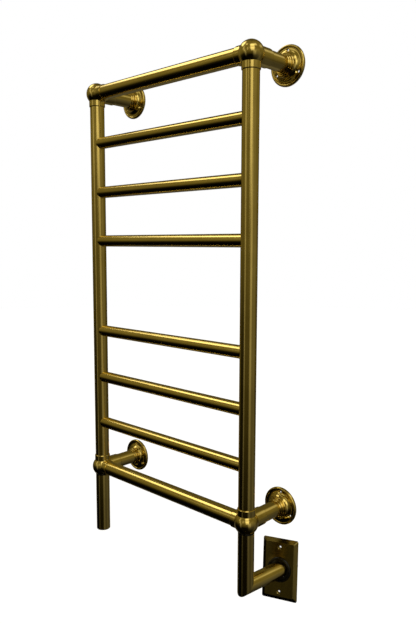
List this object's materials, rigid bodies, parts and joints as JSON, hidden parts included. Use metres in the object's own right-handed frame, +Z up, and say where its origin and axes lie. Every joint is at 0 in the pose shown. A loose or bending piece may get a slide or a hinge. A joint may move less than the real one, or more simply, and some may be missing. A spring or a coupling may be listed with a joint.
{
  "type": "towel warmer rack",
  "caption": "Ball-jointed ladder towel warmer on wall flanges, in brushed antique brass, with a swivelling wiring conduit and a cover plate.",
  "frame": {"origin": "on the wall plane, at the centre of the rectangle of the four flanges' top screw holes", "axes": "+X along the rungs, to the right seen from the front; +Y into the wall; +Z up"},
  "size_m": [0.5025, 0.1497, 1.0239],
  "materials": {
    "tube_brass": "brushed antique brass, satin",
    "cast_brass": "brushed antique brass, satin",
    "plate_brass": "dark antique brass, satin",
    "turned_brass": "bright turned",
    "black_rubber": "semi-gloss",
    "plain_steel": "satin",
    "white_insulator": "matt",
    "black_plastic": "matt",
    "black_insulation": "matt",
    "white_insulation": "matt",
    "green_insulation": "matt"
  },
  "bodies": {
    "rack": {"blank_leg": "tube_brass", "blank_leg_cap": "tube_brass", "bottom_bar": "tube_brass", "bottom_left_ball_joint": "cast_brass", "bottom_left_standoff_arm": "tube_brass", "bottom_left_wall_flange": "cast_brass", "bottom_right_ball_joint": "cast_brass", "bottom_right_standoff_arm": "tube_brass", "bottom_right_wall_flange": "cast_brass", "fill_plug": "turned_brass", "fill_plug_gasket": "black_rubber", "flange_grub_screws": "plain_steel", "heater_bush": "turned_brass", "heater_head": "white_insulator", "heater_rod": "plain_steel", "heater_seal": "black_rubber", "left_upright": "tube_brass", "right_upright": "tube_brass", "rung_1": "tube_brass", "rung_2": "tube_brass", "rung_3": "tube_brass", "rung_4": "tube_brass", "rung_5": "tube_brass", "rung_6": "tube_brass", "swivel_clip": "plain_steel", "swivel_nipple": "turned_brass", "swivel_ring": "black_rubber", "thermal_cutout": "plain_steel", "top_bar": "tube_brass", "top_left_ball_joint": "cast_brass", "top_left_standoff_arm": "tube_brass", "top_left_wall_flange": "cast_brass", "top_right_ball_joint": "cast_brass", "top_right_standoff_arm": "tube_brass", "top_right_wall_flange": "cast_brass", "tube_end_gaskets": "black_rubber"},
    "conduit": {"conduit_leg": "tube_brass", "conduit_arm": "tube_brass", "conduit_end_bush": "black_plastic", "swivel_bush": "turned_brass", "live_wire": "black_insulation", "neutral_wire": "white_insulation", "earth_wire": "green_insulation"},
    "grommet": {"wall_plate_grommet": "black_rubber"},
    "cover_plate": {"wall_plate": "plate_brass"}
  },
  "joints": [
    {"name": "conduit_swivel", "type": "hinge", "parent": "rack", "child": "conduit", "pos_m": [0.21, -0.1045, -0.46175], "axis": [0, 0, 1], "range_deg": [-84, 96]},
    {"name": "cover_slide", "type": "slide", "parent": "conduit", "child": "grommet", "axis": [0.1035, 0.9946, 0], "range_m": [-0.03, 0.02]},
    {"name": "cover_turn", "type": "hinge", "parent": "grommet", "child": "cover_plate", "pos_m": [0.21931, -0.01498, -0.55175], "axis": [0.2788, -0.9472, 0.1582], "continuous": true}
  ]
}
